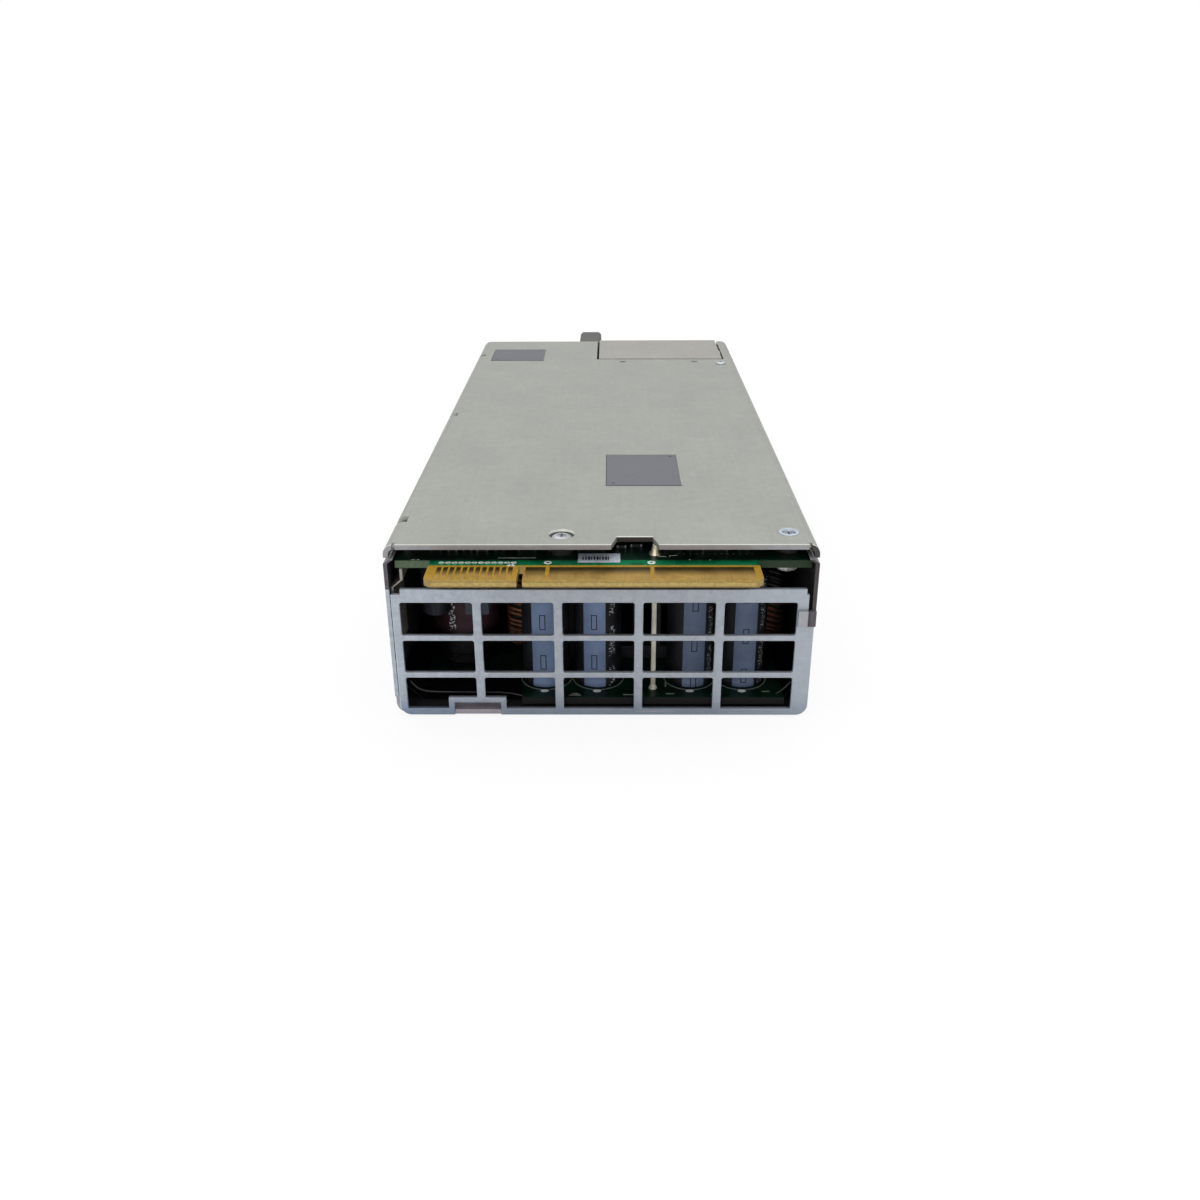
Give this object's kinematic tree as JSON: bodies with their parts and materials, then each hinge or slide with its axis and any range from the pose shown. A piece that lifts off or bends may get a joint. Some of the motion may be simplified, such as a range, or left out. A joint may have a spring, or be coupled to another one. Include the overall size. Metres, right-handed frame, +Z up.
{
  "type": "hot swap server power supply",
  "caption": "Slim hot-plug power supply for a rack server: sheet-metal case, card-edge output, open grille, fan, mains inlet, pull handle and latch.",
  "frame": {"origin": "middle of the underside of the chassis floor", "axes": "+Z up, +X to the right seen from the card edge, +Y towards the handle, the mains inlet and the fan"},
  "size_m": [0.0876, 0.2254, 0.0387],
  "materials": {
    "chassis_steel": "satin",
    "cover_steel": "satin",
    "grille_steel": "satin",
    "screw_steel": "polished",
    "spring_steel": "satin",
    "handle_grey": "satin",
    "label_grey": "matte",
    "output_board_green": "gloss",
    "main_board_green": "gloss",
    "contact_gold": "satin",
    "tin_plate": "satin",
    "black_film": "satin",
    "capacitor_sleeve": "satin",
    "brown_sleeve": "satin",
    "bulk_sleeve": "satin",
    "powder_core": "matte",
    "copper_wire": "gloss",
    "sink_aluminium": "satin",
    "transistor_black": "matte",
    "ferrite": "matte",
    "winding_tape": "satin",
    "film_capacitor_grey": "satin",
    "box_yellow": "matte",
    "relay_black": "matte",
    "fuse_ceramic": "gloss",
    "inlet_black": "matte",
    "blade_nickel": "satin",
    "light_pipe_clear": "gloss",
    "fan_black": "matte",
    "lead_black": "matte",
    "plug_white": "matte",
    "thumb_orange": "matte"
  },
  "bodies": {
    "chassis": {"chassis_tray": "chassis_steel", "top_cover": "cover_steel", "inlet_grille": "grille_steel", "rear_panel": "chassis_steel", "cover_screws": "screw_steel", "board_nuts": "screw_steel", "cover_labels": "label_grey", "output_board": "output_board_green", "signal_contacts": "contact_gold", "power_contacts": "contact_gold", "side_bracket": "tin_plate", "main_board": "main_board_green", "board_screws": "screw_steel", "insulator_film": "black_film", "output_capacitor_1": "capacitor_sleeve", "output_capacitor_2": "capacitor_sleeve", "output_capacitor_3": "capacitor_sleeve", "output_capacitor_4": "capacitor_sleeve", "filter_capacitor": "brown_sleeve", "bus_pin": "tin_plate", "left_choke_core": "powder_core", "right_choke_core": "powder_core", "boost_choke_core": "powder_core", "line_choke_core": "powder_core", "left_choke_winding": "copper_wire", "right_choke_winding": "copper_wire", "boost_choke_winding": "copper_wire", "line_choke_winding": "copper_wire", "rectifier_heatsink": "sink_aluminium", "primary_heatsink": "sink_aluminium", "output_transistors": "transistor_black", "power_transistors": "transistor_black", "transformer_core": "ferrite", "transformer_winding": "winding_tape", "resonant_capacitor": "film_capacitor_grey", "line_capacitor": "box_yellow", "inrush_relay": "relay_black", "control_board": "main_board_green", "bulk_capacitor": "bulk_sleeve", "line_fuse": "fuse_ceramic", "fuse_clips": "tin_plate", "pull_handle": "handle_grey", "handle_screws": "screw_steel", "inlet_housing": "inlet_black", "inlet_blades": "blade_nickel", "light_pipe": "light_pipe_clear", "fan_frame": "fan_black", "fan_stator": "fan_black", "fan_guard": "tin_plate", "fan_screws": "screw_steel", "fan_lead": "lead_black", "fan_plug": "plug_white", "latch_bracket": "tin_plate", "latch_pin": "spring_steel", "latch_spring": "spring_steel"},
    "rotor": {"fan_rotor": "fan_black", "fan_shaft": "spring_steel"},
    "latch": {"release_latch": "spring_steel", "thumb_pad": "thumb_orange"}
  },
  "joints": [
    {"name": "fan_spin", "type": "hinge", "parent": "chassis", "child": "rotor", "pos_m": [0.0183, 0.0785, 0.0188], "axis": [0, 1, 0], "continuous": true},
    {"name": "latch_turn", "type": "hinge", "parent": "chassis", "child": "latch", "pos_m": [0.0384, 0.0525, 0.019], "axis": [0, 0, 1], "range_deg": [0, 4], "stiffness_Nm_per_rad": 0.35, "springref_deg": -20.05}
  ]
}
